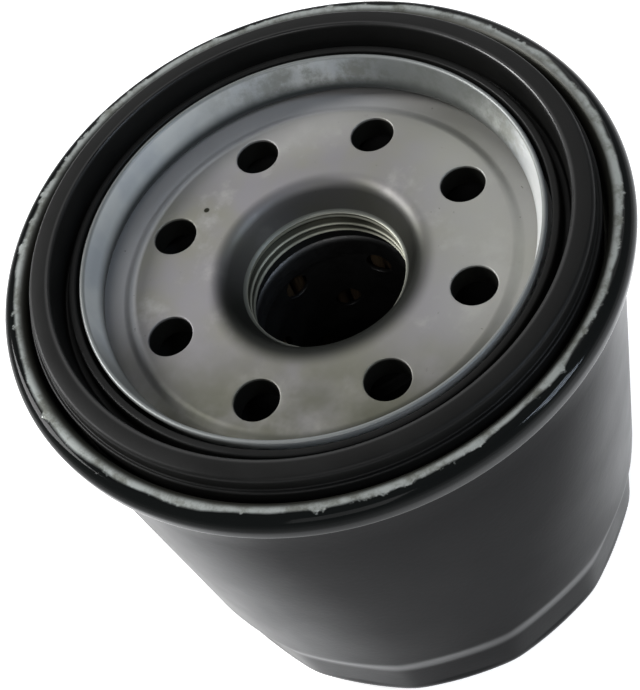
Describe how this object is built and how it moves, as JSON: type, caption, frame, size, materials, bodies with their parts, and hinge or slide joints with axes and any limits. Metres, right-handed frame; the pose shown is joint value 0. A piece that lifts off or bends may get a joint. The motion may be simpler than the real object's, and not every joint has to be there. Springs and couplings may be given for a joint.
{
  "type": "spin-on oil filter",
  "caption": "Spin-on engine oil filter: black can with wrench flats, rolled seam, rubber gasket, and a base plate with inlet holes round a threaded centre hole.",
  "frame": {"origin": "centre of the ring-shaped face the closed end rests on, at the object's lowest point", "axes": "+Z along the filter's axis from the closed end to the gasket end; +X through the middle of one inlet hole"},
  "size_m": [0.069, 0.069, 0.0654],
  "materials": {
    "can_paint": "satin",
    "plate_steel": "satin",
    "lid_zinc": "satin",
    "gasket_rubber": "satin",
    "valve_rubber": "matte",
    "cap_steel": "satin",
    "spring_steel": "satin",
    "filter_paper": "matte",
    "potting_resin": "satin"
  },
  "bodies": {
    "housing": {"can": "can_paint", "base_plate": "plate_steel", "seaming_lid": "lid_zinc", "sealing_gasket": "gasket_rubber", "drainback_hub": "valve_rubber", "drainback_membrane": "valve_rubber", "element_spring": "spring_steel"},
    "drainback_flap": {"drainback_lip": "valve_rubber"},
    "element": {"upper_end_cap": "cap_steel", "upper_potting": "potting_resin", "pleated_media": "filter_paper", "media_seam_clip": "cap_steel", "centre_tube": "cap_steel", "lower_potting": "potting_resin", "lower_end_cap": "cap_steel", "bypass_seat": "cap_steel", "bypass_cage": "cap_steel", "bypass_spring": "spring_steel"},
    "bypass_poppet": {"bypass_seal": "valve_rubber", "bypass_disc": "cap_steel", "bypass_stem": "spring_steel"}
  },
  "joints": [
    {"name": "drainback_open", "type": "slide", "parent": "housing", "child": "drainback_flap", "axis": [0, 0, -1], "range_m": [0, 0.002], "stiffness_N_per_m": 120, "springref_m": -0.001, "deforming": ["drainback_membrane"]},
    {"name": "element_float", "type": "slide", "parent": "housing", "child": "element", "axis": [0, 0, -1], "range_m": [0, 0.0015], "stiffness_N_per_m": 4000, "springref_m": -0.008, "deforming": ["element_spring"]},
    {"name": "bypass_lift", "type": "slide", "parent": "element", "child": "bypass_poppet", "axis": [0, 0, 1], "range_m": [0, 0.0025], "stiffness_N_per_m": 1800, "springref_m": -0.004, "deforming": ["bypass_spring"]}
  ]
}
